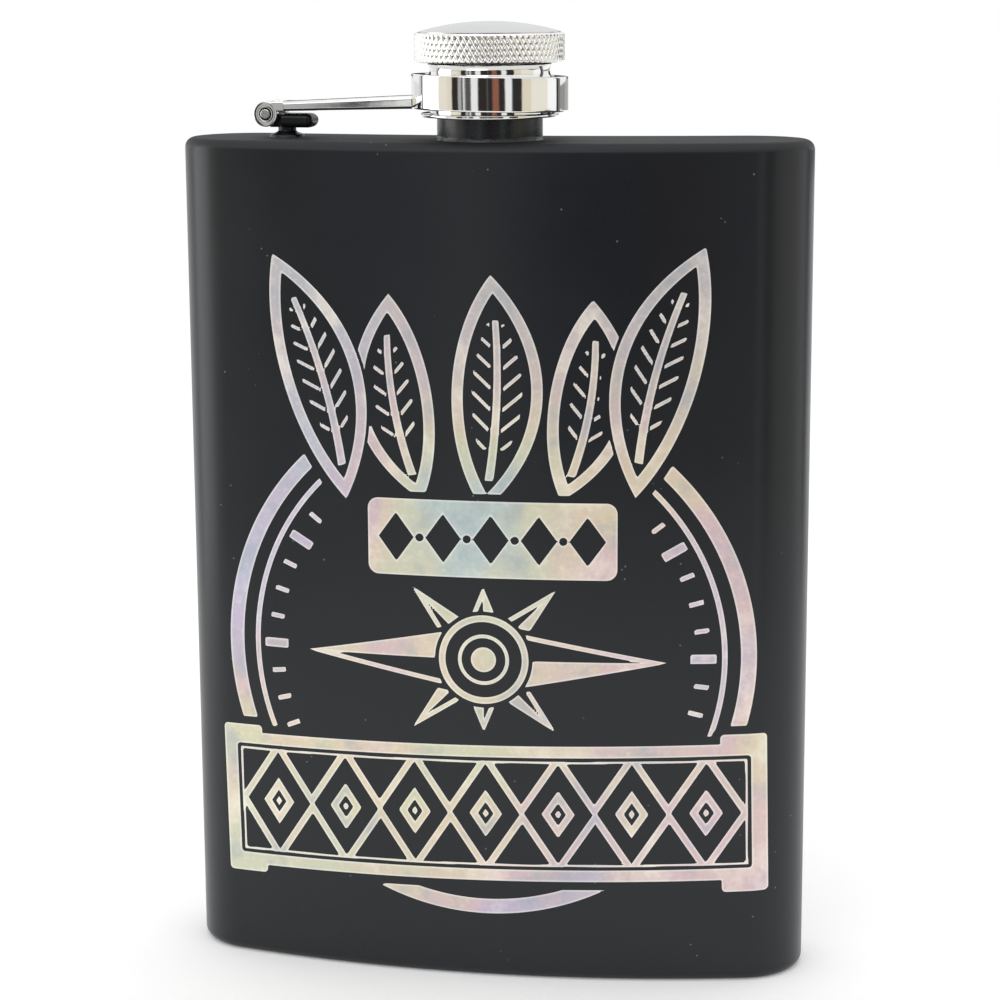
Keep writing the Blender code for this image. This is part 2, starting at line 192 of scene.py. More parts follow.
# A material and the few steps that its node graph is written in.
class Finish:
    def __init__(self, name, **fixed):
        self.material = bpy.data.materials.new(name)
        self.material.use_nodes = True
        self.tree = self.material.node_tree
        self.shader = self.tree.nodes["Principled BSDF"]
        for socket, value in fixed.items():
            self.shader.inputs[socket.replace("_", " ")].default_value = value

    def node(self, kind, settings=None, out=0, **sockets):
        made = self.tree.nodes.new("ShaderNode" + kind)
        for key, value in (settings or {}).items():
            if key == "stops":
                ramp = made.color_ramp
                while len(ramp.elements) > len(value):
                    ramp.elements.remove(ramp.elements[-1])
                while len(ramp.elements) < len(value):
                    ramp.elements.new(1)
                for element, (place, colour) in zip(ramp.elements, value):
                    element.position, element.color = place, (*colour, 1)
            else:
                setattr(made, key, value)
        for key, value in sockets.items():      # i0, i1... stand for sockets by number
            byNumber = key[0] == "i" and key[1:].isdigit()
            socket = made.inputs[int(key[1:]) if byNumber else key.replace("_", " ")]
            if isinstance(value, Value):
                self.tree.links.new(value.socket, socket)
            else:
                socket.default_value = value
        return Value(self.tree, made.outputs[out])

    def place(self, scale=(1, 1, 1), turn=(0, 0, 0), shift=(0, 0, 0)):
        where = self.node("TexCoord", out="Object")
        return self.node("Mapping", Vector=where, Scale=scale, Rotation=turn, Location=shift)

    def height(self):
        return self.node("SeparateXYZ", out="Z", Vector=self.place())

    def noise(self, scale, detail, roughness, stretch=(1, 1, 1), turn=(0, 0, 0), shift=(0, 0, 0)):
        where = self.place(stretch, turn, shift)
        return self.node("TexNoise", out="Fac", Vector=where, Scale=scale, Detail=detail,
                         Roughness=roughness)

    def attribute(self, name, kind="Fac"):
        return self.node("Attribute", {"attribute_name": name}, out=kind)

    def ramp(self, value, *stops):
        made = self.node("ValToRGB", {"stops": stops}, Fac=value)
        made.socket.node.color_ramp.interpolation = "EASE"
        return made

    # A colour between two; a colour is a link or three numbers.
    def mix(self, share, first, second):
        first, second = (c if isinstance(c, Value) else (*c, 1) for c in (first, second))
        return self.node("Mix", {"data_type": "RGBA"}, out=2, i0=share, i6=first, i7=second)

    def range(self, value, low, high, toLow=0.0, toHigh=1.0):
        return self.node("MapRange", Value=value, From_Min=low, From_Max=high, To_Min=toLow,
                         To_Max=toHigh)

    def feed(self, **sockets):
        for socket, value in sockets.items():
            self.tree.links.new(value.socket, self.shader.inputs[socket.replace("_", " ")])

    def bump(self, height, strength, distance):
        return self.node("Bump", Height=height, Strength=strength, Distance=distance)


def grey(level):
    return (level, level, level)


# Satin powder coat: fine orange peel, soft cloudiness in the gloss, a few pale specks and faint
# scuffs. The shoulder's roughness rises by the shoulder dust over its rounded edge.
def blackCoatFinish(name, base, roughness, dust=1.0, shoulderDust=0.0):
    finish = Finish(name, Specular_IOR_Level=0.42, IOR=1.46)
    peel = finish.noise(2600, 2.0, 0.5)
    grain = finish.noise(9000, 1.0, 0.5)
    cloud = finish.noise(38, 4.0, 0.6)
    streaks = finish.noise(60, 5.0, 0.7, stretch=(9, 9, 0.8), turn=(0.1, 0.5, 0))
    scuff = finish.range(streaks, 0.70, 0.80)
    dots = finish.node("TexVoronoi", out="Distance", Vector=finish.place(), Scale=620.0)
    rare = finish.noise(210, 0.0, 0.5) > 0.66
    speck = (dots < 0.085) * rare
    tint = finish.mix(cloud, base, [c * 1.35 + 0.001 for c in base])
    tint = finish.mix(speck * (0.55 * dust), tint, (0.20, 0.20, 0.19))
    tint = finish.mix(scuff * (0.10 * dust), tint, (0.10, 0.10, 0.10))
    gloss = finish.range(cloud, 0.3, 0.7, roughness - 0.035, roughness + 0.04)
    onTop = finish.range(finish.height(), shoulder - 1.3 * mm, shoulder - 0.2 * mm)
    gloss = gloss + scuff * 0.06 + (grain - 0.5) * 0.05 + onTop * shoulderDust
    finish.feed(Base_Color=tint, Roughness=gloss,
                Normal=finish.bump(peel * 0.7 + grain * 0.3 + speck * 0.8, 0.30, 0.025 * mm))
    return finish.material


# Polished chrome: nearly a mirror, with faint smears, hairlines and a slow waviness of the metal.
def chromeFinish(name, tone, roughness):
    finish = Finish(name, Metallic=1.0)
    smear = finish.noise(160, 4.0, 0.6, stretch=(1, 1, 0.4))
    wave = finish.noise(230, 2.0, 0.5)
    hair = finish.range(finish.noise(900, 2.0, 0.6, stretch=(1, 1, 14)), 0.62, 0.8)
    gloss = finish.range(smear, 0.35, 0.75, roughness * 0.7, roughness * 1.5) + hair * 0.04
    finish.feed(Base_Color=finish.mix(smear, [t * 0.97 for t in tone], tone), Roughness=gloss,
                Normal=finish.bump(wave + hair * 0.05, 0.12, 0.12 * mm))
    return finish.material


# Satin steel with the fine rings that a lathe leaves: the ring pattern is a wave of the distance
# from the axis and of the height.
def satinSteelFinish(name, tone, roughness, lathe=True):
    finish = Finish(name, Metallic=1.0)
    fine = finish.noise(5200, 3.0, 0.65)
    relief = fine
    if lathe:
        reach = finish.node("VectorMath", {"operation": "LENGTH"}, out="Value",
                            i0=finish.place((1, 1, 0)))
        wobble = finish.noise(500, 2.0, 0.5)
        rings = (reach * 34000.0 + finish.height() * 21000.0 + wobble * 3.0).math("SINE")
        relief = rings * 0.5 + fine
    cloud = finish.noise(120, 3.0, 0.6)
    finish.feed(Base_Color=finish.mix(cloud, [t * 0.90 for t in tone], tone),
                Roughness=finish.range(fine, 0.3, 0.7, roughness - 0.06, roughness + 0.07),
                Normal=finish.bump(relief, 0.25, 0.01 * mm))
    return finish.material


# Translucent silicone: a slightly mottled, soft surface with fine dust on it.
def sealFinish():
    finish = Finish("sealSilicone", Specular_IOR_Level=0.4)
    cloud = finish.noise(420, 3.0, 0.6)
    dust = finish.noise(3800, 2.0, 0.6)
    finish.feed(Base_Color=finish.mix(cloud, (0.52, 0.50, 0.45), (0.66, 0.64, 0.58)),
                Roughness=finish.range(dust, 0.3, 0.7, 0.45, 0.68),
                Normal=finish.bump(dust, 0.2, 0.04 * mm))
    return finish.material


# Bare steel under the coat, frosted by the laser. Patches of straw, rose, lilac, mint and pale blue
# wander over it, darker and lighter patches over those, a painted highlight as a thin bright line
# follows every edge, and fine level lines are left by the beam.
def laserFinish():
    finish = Finish("laserSteel", Metallic=0.55, Specular_IOR_Level=0.5)
    drift = finish.noise(26, 3.0, 0.55, stretch=(1, 1, 0.75))
    drift2 = finish.noise(34, 2.0, 0.5, shift=(4.0, 1.0, 7.0))
    hue = finish.ramp(drift, (0.30, (0.44, 0.63, 0.60)), (0.40, (0.70, 0.70, 0.42)),
                      (0.47, (0.82, 0.64, 0.42)), (0.53, (0.76, 0.48, 0.52)),
                      (0.60, (0.54, 0.44, 0.68)), (0.70, (0.42, 0.58, 0.76)))
    pale = finish.ramp(drift2, (0.35, (0.74, 0.70, 0.58)), (0.50, (0.66, 0.64, 0.66)),
                       (0.65, (0.58, 0.68, 0.63)))
    high = finish.range(finish.height(), shoulder - 52 * mm, shoulder - 22 * mm)
    colour = finish.mix(0.36, hue, pale)
    colour = finish.mix(high * 0.6, colour, (0.54, 0.56, 0.54))     # greyer towards the top
    lines = finish.noise(700, 2.0, 0.7, stretch=(0.12, 0.12, 9))
    mottled = finish.noise(1500, 3.0, 0.7)
    colour = finish.mix((1 - lines) * 0.30, colour, (0.45, 0.44, 0.42))
    colour = finish.mix(finish.range(mottled, 0.50, 0.75) * 0.25, colour, (0.98, 0.97, 0.94))
    patches = finish.noise(105, 4.0, 0.65, shift=(2.0, 5.0, 1.0))
    colour = finish.mix(finish.range(patches, 0.34, 0.47, 0.55, 0.0), colour, (0.38, 0.43, 0.48))
    colour = finish.mix(finish.range(patches, 0.53, 0.68, 0.0, 0.55), colour, (1.0, 0.93, 0.80))
    # painted highlight: a thin bright line along every edge of the ornament
    line = finish.range(finish.attribute("edgeDistance"), 0.0, 0.36, 1.0, 0.0)
    colour = finish.mix(line * 0.55, colour, (0.97, 0.95, 0.90))
    finish.feed(Base_Color=colour, Roughness=finish.range(mottled, 0.3, 0.7, 0.40, 0.56),
                Normal=finish.bump(mottled * 0.6 + lines * 0.4, 0.22, 0.03 * mm))
    return finish.material


coat = blackCoatFinish("blackCoat", (0.0062, 0.0083, 0.0108), 0.30, shoulderDust=0.40)
fittingCoat = blackCoatFinish("blackCoatFittings", (0.004, 0.005, 0.006), 0.24, dust=0.3)
chrome = chromeFinish("polishedChrome", (0.86, 0.86, 0.85), 0.055)
domeSteel = satinSteelFinish("satinSteel", (0.66, 0.67, 0.67), 0.30)
knurlSteel = satinSteelFinish("knurledSteel", (0.96, 0.96, 0.94), 0.20, lathe=False)
# A near-black copy of the satin steel: painted shade for the ring under the cap's head.
undersideSteelPaintedShade = satinSteelFinish("undersideSteelPaintedShade", (0.07, 0.07, 0.07), 0.45)
laser = laserFinish()
silicone = sealFinish()
print("materials made")


bodyShape = {
    "width": bandHigh.x - bandLow.x,
    "thickness": 21.0 * mm,
    "frontRadius": 170.3 * mm,
    "endRadius": 10.0 * mm,
    "edgeFillet": 1.5 * mm,
    "sheet": 0.7 * mm,
    "innerChamfer": 0.9 * mm,
    "spoutHole": 7.1 * mm,
    "baseCircle": 7.0 * mm,     # a line in the flat base, as is the pole
    "pole": 0.02 * mm,
}


# Centres of the outline's arcs: X and Y of the right end arc, and Y of the front arc.
def arcCentres():
    s = bodyShape
    endX = s["width"] / 2 - s["endRadius"]
    middle = s["frontRadius"] - s["thickness"] / 2
    return endX, middle - math.sqrt((s["frontRadius"] - s["endRadius"]) ** 2 - endX ** 2), middle


# Y of the front at x, and the sine of its slope there: the front arc, and past its ends the end arcs.
def frontSurface(x):
    front, end = bodyShape["frontRadius"], bodyShape["endRadius"]
    endX, endY, middle = arcCentres()
    past = np.abs(x) > endX * front / (front - end)
    side = np.clip(np.abs(x) - endX, 0, end)
    y = np.where(past, endY - np.sqrt(end ** 2 - side ** 2), middle - np.sqrt(front ** 2 - x ** 2))
    return y, np.where(past, np.sign(x) * side / end, x / front)


# The outline from above, counter-clockwise, moved inwards by the inset: a wide front arc, two end
# arcs and a hollow back arc that meet without a corner.
def kidney(inset):
    s = bodyShape
    endX, endY, middle = arcCentres()
    drop = s["thickness"] / 2 - endY
    backRadius = (endX ** 2 + drop ** 2 - s["endRadius"] ** 2) / (2 * (s["endRadius"] - drop))
    backY = s["thickness"] / 2 + backRadius
    front = math.asin(endX / (s["frontRadius"] - s["endRadius"]))
    back = math.atan2(endX, backY - endY)
    down, up = -math.pi / 2, math.pi / 2
    arcs = [        # centre, radius, first and last angle, points
        (0, middle, s["frontRadius"] - inset, down - front, down + front, 110),
        (endX, endY, s["endRadius"] - inset, down + front, up + back, 60),
        (0, backY, backRadius + inset, down + back, down - back, 110),
        (-endX, endY, s["endRadius"] - inset, up - back, math.pi * 1.5 - front, 60),
    ]
    made = []
    for x, y, r, start, stop, count in arcs:
        a = np.linspace(start, stop, count, endpoint=False)
        made.append(np.stack([x + r * np.cos(a), y + r * np.sin(a)], -1))
    return np.concatenate(made)


# The welded body as one hollow shell. Rings run from the middle of the underside, round the lower
# edge, up the wall, round the upper edge to the spout hole, and back down inside. A ring at (inset,
# height) is the outline moved inwards; the flat faces run from such a ring to a circle round the
# axis, and blend is the ring's share in between.
def makeBody():
    s = bodyShape
    fillet, sheet, top = s["edgeFillet"], s["sheet"], shoulder
    quarter = np.linspace(0, math.pi / 2, 9)
    low = [(fillet * (1 - math.sin(a)), fillet * (1 - math.cos(a))) for a in quarter]
    wall = [(0, z) for z in np.linspace(fillet, top - fillet, 26)[1:-1]]
    high = [(inset, top - h) for inset, h in low[::-1]]
    outline = kidney(0.0)
    polar = np.arctan2(outline[:, 1], outline[:, 0])
    circle = np.stack([np.cos(polar), np.sin(polar)], -1)

    def disc(radius, height, blend=0.0, inset=fillet):
        flat = circle * radius * (1 - blend) + kidney(inset) * blend
        return np.column_stack([flat, np.full(len(flat), height)])

    def ring(inset, height):
        return disc(0, height, 1.0, inset)

    hole, core, under = s["spoutHole"], s["baseCircle"], top - sheet
    rings = [disc(s["pole"], 0), disc(core, 0), disc(core, 0, 0.5), disc(core, 0, 0.93)]
    rings += [ring(*pair) for pair in low + wall + high]
    rings += [disc(hole, top, 0.93), disc(hole, top, 0.5), disc(hole, top)]
    inner = sheet + s["innerChamfer"]
    rings += [disc(hole, under), disc(hole, under, 0.9, inner), ring(inner, under),
              ring(sheet, top - inner), ring(sheet, inner), ring(inner, sheet),
              disc(core, sheet, 0.5, inner), disc(s["pole"], sheet)]
    points = np.stack(rings)
    return meshFrom("bodyShell", points, gridQuads(*points.shape[:2]), coat, "flask",
                    ("body_band", "base_plate", "top_plate"), "black_coat", sharp=50)


makeBody()
print("body made")


spoutShape = {
    "radius": 7.8 * mm,
    "root": 7.25 * mm,
    "crest": 7.6 * mm,
    "bore": 6.4 * mm,
    "top": 11.0 * mm,           # heights are above the shoulder
    "step": 4.6 * mm,
    "foot": -1.9 * mm,
    "pitch": 1.5 * mm,
    "turns": 2.5,
    "weld": 0.2 * mm,
    "weldHeight": 0.72 * mm,
    "weldRipple": 0.045 * mm,
}


# Rings of r(a, h). The threaded part is root + (crest - root) * t, where t falls off on both sides
# of the helix h = low + pitch * (a / 2 pi + n), and fades at its two ends. The weld bead at the foot
# ripples by a sum of sines of the angle.
def makeSpout():
    s = spoutShape
    radius, root, bore, step, top = (s[key] for key in ("radius", "root", "bore", "step", "top"))
    angle = turnSteps(240)
    t = np.linspace(0, 1, 9)
    bead = np.column_stack([radius + s["weld"] * (1 - np.sin(t * math.pi / 2)) ** 1.2,
                            t * s["weldHeight"] - 0.02 * mm])
    outer = rounded([(radius, 0.75 * mm), (radius, step - 0.25 * mm), (root + 0.1 * mm, step),
                     (root, step + 0.1 * mm)], 0.12 * mm)
    thread = np.linspace(step + 0.15 * mm, top - 1.1 * mm, 70)
    inside = root - 0.15 * mm
    lip = rounded([(root, top - 1.0 * mm), (root, top), (bore, top), (bore, s["foot"]),
                   (inside, s["foot"] - 0.05 * mm), (inside, -0.4 * mm)], 0.22 * mm)
    start = (radius + 0.3 * mm, -0.35 * mm)     # hidden in the shoulder
    profile = np.vstack([start, bead, outer, np.column_stack([root + 0 * thread, thread]), lip])

    radii = np.repeat(profile[:, :1], len(angle), 1)
    ripple = np.sin(9 * angle) + 0.6 * np.sin(17 * angle + 1) + 0.5 * np.sin(31 * angle + 2)
    radii[1:9] += s["weldRipple"] * ripple * np.linspace(1, 0, 8)[:, None]
    around = angle / (2 * math.pi)
    turn = (thread[:, None] - step - 0.9 * mm) / s["pitch"] - around
    near = np.clip(np.round(turn), 0, 3)
    along = near + around
    ends = np.clip(8 * np.minimum(along, s["turns"] - along), 0, 1)
    tall = np.clip(1.55 - 4.6 * np.abs(turn - near), 0, 1)
    first = 1 + len(bead) + len(outer)
    radii[first:first + len(thread)] += (s["crest"] - root) * tall ** 0.8 * ends
    points = ringRows(radii, profile[:, 1] + shoulder, angle)
    return meshFrom("spout", points, gridQuads(*points.shape[:2], wrapRows=True), spoutFinish(),
                    "flask", ("neck",), "black_coat_fittings")


# Black coat on the lower part and bare turned steel from the step upwards, with a ragged border.
def spoutFinish():
    finish = Finish("spoutCoatAndSteel", Specular_IOR_Level=0.45)
    ragged = finish.noise(900, 3.0, 0.6)
    border = shoulder + spoutShape["step"] - 0.2 * mm
    level = finish.height() + (ragged - 0.5) * 0.5 * mm
    bare = finish.range(level, border - 0.1 * mm, border + 0.1 * mm)
    fine = finish.noise(5200, 3.0, 0.65)
    bands = finish.noise(260, 2.0, 0.6, stretch=(1, 1, 9))
    dark = finish.mix(ragged, (0.006, 0.0078, 0.0098), (0.011, 0.013, 0.015))
    steelTone = finish.mix(bands, (0.52, 0.53, 0.53), (0.68, 0.69, 0.69))
    finish.feed(Base_Color=finish.mix(bare, dark, steelTone), Metallic=bare,
                Roughness=finish.range(fine, 0.3, 0.7, 0.22, 0.34),
                Normal=finish.bump(fine * 0.6 + bands * 0.4, 0.25, 0.02 * mm))
    return finish.material


makeSpout()
print("spout made")


armShape = {
    "collarRadius": 11.55 * mm,
    "collarWall": 2.05 * mm,
    "collarFoot": 4.3 * mm,             # above the shoulder
    "collarHeight": 5.1 * mm,
    "collarDrop": math.radians(1.1),    # the loose ring hangs a little to the right
    "collarLift": math.radians(1.1),    # and sits a little high in front
    "strapWidth": 5.0 * mm,
    "strapThickness": 1.5 * mm,         # at the hinge
    "strapGrowth": 0.6 * mm,            # thicker by this at the collar
    "strapRise": 0.5 * mm,              # of its underside
    "earRadius": 1.9 * mm,
    "earThickness": 1.1 * mm,
    "earBore": 0.95 * mm,
}
postShape = {
    "stemRadius": 1.35 * mm,
    "footRadius": 2.7 * mm,
    "headWidth": 4.2 * mm,
    "headLength": 7.1 * mm,
    "headFoot": 1.4 * mm,               # above the shoulder
    "headTop": 0.1 * mm,                # above the pin
    "knuckle": 1.6 * mm,
    "knuckleBore": 0.83 * mm,
    "knuckleGap": 0.2 * mm,             # to each ear
    "stemOffset": 2.55 * mm,
}


# Turns points from the arm's own frame, where X runs from the pin to the cap, into place on the pin.
def onPin(points, quads):
    c, s = math.cos(armTurn), math.sin(armTurn)
    spin = np.array([[c, -s, 0], [s, c, 0], [0, 0, 1]])
    return points @ spin.T + np.array(pinCentre), quads


# A bar along a path in the XZ plane. Its section is a superellipse |y/w|^n + |z/h|^n = 1, set square
# to the path; a slightly smaller section and its middle point close each end.
def roundedBar(path, widths, heights, roundness, around):
    path = np.asarray(path, float)
    widths, heights = (np.broadcast_to(v, len(path)) for v in (widths, heights))
    a = turnSteps(around)
    y, z = (np.sign(v) * np.abs(v) ** (2 / roundness) / 2 for v in (np.cos(a), np.sin(a)))
    ahead = np.gradient(path, axis=0)
    ahead /= np.linalg.norm(ahead, axis=1)[:, None]
    rows = [np.stack([p[0] - t[1] * z * h, y * w, p[1] + t[0] * z * h], -1)
            for p, t, w, h in zip(path, ahead, widths, heights)]

    def shrunk(row, share):
        return row.mean(0) + (row - row.mean(0)) * share

    first, last = rows[0], rows[-1]
    rows = [shrunk(first, 0), shrunk(first, 0.9), *rows, shrunk(last, 0.9), shrunk(last, 0)]
    points = np.stack(rows)[:, ::-1]
    return points, gridQuads(*points.shape[:2])


# A bored disc about the pin's axis (Y): a rounded profile of (radius, offset) turned round Y.
def crossDisc(radius, thickness, y, bore):
    half = thickness / 2
    profile = rounded([(bore, 0), (bore, -half), (radius, -half), (radius, half), (bore, half),
                       (bore, 0)], 0.16 * mm)[:-1]
    points = turned(profile[::-1], 72)[..., [0, 2, 1]] + (0, y, 0)
    return points, gridQuads(*points.shape[:2], wrapRows=True)


# Collar, strap and fork as one piece. The collar is a rounded profile turned round the cap's axis
# and tilted a little; the strap is a superellipse bar that rises and thickens towards the collar;
# two legs carry the round ears.
def makeArm():
    s = armShape
    inner, outer = s["collarRadius"] - s["collarWall"], s["collarRadius"]
    foot, top = s["collarFoot"], s["collarFoot"] + s["collarHeight"]
    middle = (foot + top) / 2
    profile = rounded([(inner, middle), (inner, top), (outer, top), (outer, foot), (inner, foot),
                       (inner, middle)], 0.28 * mm, 6)[:-1]
    ring = turned(profile, 256)
    tilt = math.tan(s["collarDrop"]) * ring[..., 0] + math.tan(s["collarLift"]) * ring[..., 1]
    ring[..., 2] += shoulder - tilt

    low = s["earRadius"] - s["strapThickness"] / 2
    near, bend = armLength - s["collarRadius"] + 0.9 * mm, 3 * mm
    x = np.concatenate([np.linspace(2.35 * mm, 4 * mm, 6), np.linspace(4 * mm, near, 24)[1:]])
    rise = np.clip((x - bend) / (near - bend), 0, 1)
    z = low + (s["strapRise"] + s["strapGrowth"] / 2) * rise
    width = s["strapWidth"] * np.where(x < 2.6 * mm, 0.97, 1)
    height = s["strapThickness"] * 0.985 + s["strapGrowth"] * rise
    strap = roundedBar(np.column_stack([x, z]), width, height, 4.5, 56)
    parts = [(ring, gridQuads(*ring.shape[:2], wrapRows=True)), onPin(*strap)]
    side = s["strapWidth"] / 2 - s["earThickness"] / 2
    for y in (-side, side):
        leg, legQuads = roundedBar([(0.95 * mm, low), (1.6 * mm, low), (2.9 * mm, low)],
                                   s["earThickness"], s["strapThickness"] * 0.98, 6, 32)
        ear = crossDisc(s["earRadius"], s["earThickness"], y, s["earBore"])
        parts += [onPin(*ear), onPin(leg + (0, y, 0), legQuads)]
    return meshFrom("capArm", *join(parts), chrome, "arm", ("cap_arm",), "polished_chrome", sharp=60)


# Foot, stem, long head and knuckle. The foot is a hollow cone that flows into the stem; the head is
# a superellipse bar whose far end is rounded; the knuckle is a bored disc on the pin.
def makePost():
    s = postShape
    base = shoulder - pinCentre.z
    low, high = base + s["headFoot"], s["headTop"]
    stemRadius, footRadius = s["stemRadius"], s["footRadius"]
    t = np.linspace(0, 1, 9)
    sweep = [(stemRadius + (footRadius - stemRadius - 0.2 * mm) * (1 - k) ** 2.6,
              base + 0.42 * mm + 0.62 * mm * k ** 0.9) for k in t]
    profile = rounded([(footRadius + 0.12 * mm, base - 0.25 * mm), (footRadius, base + 0.16 * mm),
                       (footRadius - 0.12 * mm, base + 0.38 * mm), *sweep,
                       (stemRadius, low + 0.6 * mm), (0, low + 0.6 * mm)], 0.06 * mm, 3)
    stem = turned(np.vstack([(0, base - 0.25 * mm), profile]), 96) + (s["stemOffset"], 0, 0)

    half, middle = (high - low) / 2, (high + low) / 2
    last = s["headLength"] - half
    nose = np.sin(np.linspace(0, math.pi / 2, 12)[1:])
    x = np.concatenate([np.linspace(armShape["earRadius"] + 0.5 * mm, last, 10), last + half * nose])
    shape = np.concatenate([np.ones(10), np.sqrt(1 - np.minimum(nose, 0.9995) ** 2)])
    head = roundedBar(np.column_stack([x, middle + 0 * x]), s["headWidth"] * (0.55 + 0.45 * shape),
                      2 * half * shape, 3.6, 64)
    narrow = armShape["strapWidth"] - 2 * (armShape["earThickness"] + s["knuckleGap"])
    web = roundedBar([(0.2 * mm, middle), (2 * mm, middle), (3.4 * mm, middle)],
                     narrow, 2 * half * 0.98, 6, 48)
    knuckle = crossDisc(s["knuckle"], narrow, 0, s["knuckleBore"])
    parts = [onPin(stem, gridQuads(*stem.shape[:2])), onPin(*head), onPin(*web), onPin(*knuckle)]
    return meshFrom("hingePost", *join(parts), fittingCoat, "flask", ("hinge_post",),
                    "black_coat_fittings", sharp=60)


# Gives a CAD piece that stays visible its own finish.
def dress(node, material):
    node.data.materials.clear()
    node.data.materials.append(material)


makeArm()
makePost()
dress(nodes["hinge_pin"], domeSteel)
nodes["hinge_pin"].data.shade_smooth()
print("hinge and arm made")


capShape = {
    "radius": 11.05 * mm,
    "foot": 11.3 * mm,              # heights are above the shoulder
    "rim": 15.6 * mm,
    "rimWidth": 0.62 * mm,
    "dome": 1.57 * mm,
    "wallRows": 28,
    "diamonds": 72,
    "diamondColumns": 10,           # columns of faces to a diamond
    "diamondHeight": 1.671 * mm,
    "cut": 0.27 * mm,
    "recess": 9.15 * mm,
    "ceiling": 14.1 * mm,
}
sleeveShape = {
    "radius": 8.85 * mm,
    "bore": 8.35 * mm,
    "flange": 10.15 * mm,
    "flangeThickness": 0.62 * mm,
    "foot": 3.3 * mm,
    "headFoot": 11.3 * mm,
    "coveMiddle": 10.05 * mm,       # the hollow of the groove, between the collar and the head
    "coveHeight": 1.9 * mm,
    "coveDepth": 0.27 * mm,
    "top": 13.8 * mm,
    "roof": 0.8 * mm,
}


# The knurled grip. Its wall is r = radius - cut * max(f^2.6, 0.6 g^2.6), where f and g are 1 on two
# sets of crossing helical grooves and 0 midway between them. The cut fades to a quarter at both
# rims. The dome is a flat parabola. The wall has its own finish, and the ring under the overhang a
# near-black copy of the satin steel: painted shade under the head.
def makeCapHead():
    s = capShape
    outer, foot, rim = s["radius"], s["foot"], s["rim"]
    angle = turnSteps(s["diamonds"] * s["diamondColumns"])
    edge = outer - s["rimWidth"]
    t = np.linspace(0.004, 1, 15)
    dome = np.column_stack([edge * t, rim + s["dome"] - (s["dome"] - 0.1 * mm) * t ** 2.05])
    bevel = rounded([(edge, rim + 0.1 * mm), (edge, rim - 0.34 * mm),
                     (edge + 0.17 * mm, rim - 0.34 * mm), (edge + 0.20 * mm, rim - 0.05 * mm),
                     (outer - 0.28 * mm, rim - 0.06 * mm), (outer - 0.05 * mm, rim - 0.26 * mm)],
                    0.08 * mm, 4)[1:]
    wall = np.linspace(rim - 0.28 * mm, foot + 0.26 * mm, s["wallRows"])
    under = rounded([(outer - 0.05 * mm, foot + 0.24 * mm), (outer - 0.3 * mm, foot),
                     (s["recess"], foot), (s["recess"], s["ceiling"]), (poleRadius, s["ceiling"])],
                    0.12 * mm, 4)
    profile = np.vstack([dome, bevel, np.column_stack([outer + 0 * wall, wall]), under])

    radii = np.repeat(profile[:, :1], len(angle), 1)
    u = angle * s["diamonds"] / (2 * math.pi)
    v = (wall[:, None] - wall[-1]) / s["diamondHeight"]
    f, g = (np.abs(w % 1 - 0.5) * 2 for w in (u + v, u - v))
    fade = np.clip((rim - 0.1 * mm - wall) / (0.5 * mm), 0, 1)
    fade *= np.clip((wall - foot - 0.05 * mm) / (0.5 * mm), 0, 1)
    grooves = s["cut"] * np.maximum(f ** 2.6, 0.6 * g ** 2.6)
    first = len(dome) + len(bevel)
    radii[first:first + len(wall)] -= grooves * (0.25 + 0.75 * fade[:, None])
    points = ringRows(radii, profile[:, 1] + shoulder, angle)[::-1]
    head = meshFrom("capHead", points, gridQuads(*points.shape[:2]), domeSteel, "cap",
                    ("cap_head",), "satin_steel", sharp=50)
    head.data.materials.append(knurlSteel)
    head.data.materials.append(undersideSteelPaintedShade)
    centre = np.empty((len(head.data.polygons), 3), np.float32)
    head.data.polygons.foreach_get("center", centre.ravel())
    onWall = np.hypot(centre[:, 0], centre[:, 1]) > outer - 0.6 * mm
    below = centre[:, 2] < shoulder + foot + 0.03 * mm
    # the ring under the overhang takes the near-black steel, painted shade under the head
    slots = np.where(below, 2, onWall).astype(np.int32)
    head.data.polygons.foreach_set("material_index", slots)
    return head


# The groove cylinder with the rounded flange below it and a closed roof, turned from one profile.
# The hollow of the groove is a parabola of the height.
def makeSleeve():
    s = sleeveShape
    radius, flange, foot, top = s["radius"], s["flange"], s["foot"], s["top"]
    flangeTop, ceiling = foot + s["flangeThickness"], top - s["roof"]
    h = np.linspace(1, -1, 17)
    cove = np.column_stack([radius + s["coveDepth"] * h ** 2,
                            s["coveMiddle"] + s["coveHeight"] / 2 * h])
    profile = rounded([(poleRadius, top), (radius - 0.12 * mm, top),
                       (radius - 0.10 * mm, s["headFoot"] + 0.02 * mm), *cove,
                       (radius, s["coveMiddle"] - s["coveHeight"] * 0.75),
                       (radius, flangeTop + 0.02 * mm), (radius + 0.05 * mm, flangeTop),
                       (flange, flangeTop), (flange, foot + 0.12 * mm), (flange - 0.9 * mm, foot),
                       (s["bore"], foot), (s["bore"], ceiling), (poleRadius, ceiling)], 0.2 * mm, 7)
    ring = turned(profile[::-1], 256) + (0, 0, shoulder)
    return meshFrom("capSleeve", ring, gridQuads(*ring.shape[:2]), chrome, "cap", ("cap_sleeve",),
                    "polished_chrome", sharp=60)


makeCapHead()
makeSleeve()
dress(nodes["seal_disc"], silicone)
print("cap made")


